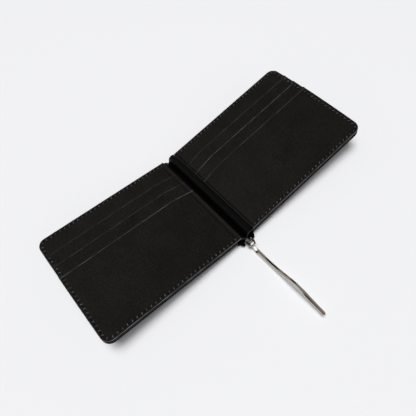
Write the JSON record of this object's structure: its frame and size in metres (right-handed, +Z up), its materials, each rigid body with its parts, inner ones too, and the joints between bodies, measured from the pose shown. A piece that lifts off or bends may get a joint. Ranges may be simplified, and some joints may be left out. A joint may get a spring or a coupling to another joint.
{
  "type": "money clip wallet",
  "caption": "Slim black leather bifold wallet, open, with card slots on each wing and a polished, waved clip arm hinged at the end of its spine.",
  "frame": {"origin": "middle of the spine's flat underside, which the open wallet rests on", "axes": "+Z up, out of the open inner face; +X across the spine towards the right wing; +Y along the spine, away from the clip's pivot"},
  "size_m": [0.22, 0.1553, 0.0226],
  "materials": {
    "cover_leather": "fine-grained, semi-matt",
    "pocket_leather": "fine-grained, matt",
    "board": "bonded leather board, rough",
    "thread": "waxed sewing thread",
    "polished_steel": "polished plate",
    "spring_steel": "rolled spring strip"
  },
  "bodies": {
    "spine": {"spine_cover": "cover_leather", "trough_lining": "pocket_leather", "left_cover_fold": "cover_leather", "right_cover_fold": "cover_leather", "left_lining_fold": "pocket_leather", "right_lining_fold": "pocket_leather", "clip_base_bar": "polished_steel", "pivot_pin": "polished_steel", "detent_spring": "spring_steel"},
    "left_wing": {"left_front_pocket": "pocket_leather", "left_middle_pocket": "pocket_leather", "left_upper_pocket": "pocket_leather", "left_card_backing": "pocket_leather", "left_cover_board": "board", "left_cover": "cover_leather", "left_edge_seam_thread": "thread", "left_inner_seam_thread": "thread"},
    "right_wing": {"right_front_pocket": "pocket_leather", "right_middle_pocket": "pocket_leather", "right_upper_pocket": "pocket_leather", "right_card_backing": "pocket_leather", "right_cover_board": "board", "right_cover": "cover_leather", "right_edge_seam_thread": "thread", "right_inner_seam_thread": "thread"},
    "clip_arm": {"clip_arm": "polished_steel"}
  },
  "joints": [
    {"name": "left_fold", "type": "hinge", "parent": "spine", "child": "left_wing", "pos_m": [-0.0075, 0, 0.00507], "axis": [0, 1, 0], "range_deg": [-7, 83], "deforming": ["left_cover_fold", "left_lining_fold"]},
    {"name": "right_fold", "type": "hinge", "parent": "spine", "child": "right_wing", "pos_m": [0.0075, 0, 0.00464], "axis": [0, -1, 0], "range_deg": [-7, 83], "deforming": ["right_cover_fold", "right_lining_fold"]},
    {"name": "clip_pivot", "type": "hinge", "parent": "spine", "child": "clip_arm", "pos_m": [0, -0.0485, 0.0052], "axis": [-1, 0, 0], "range_deg": [0, 175]}
  ]
}
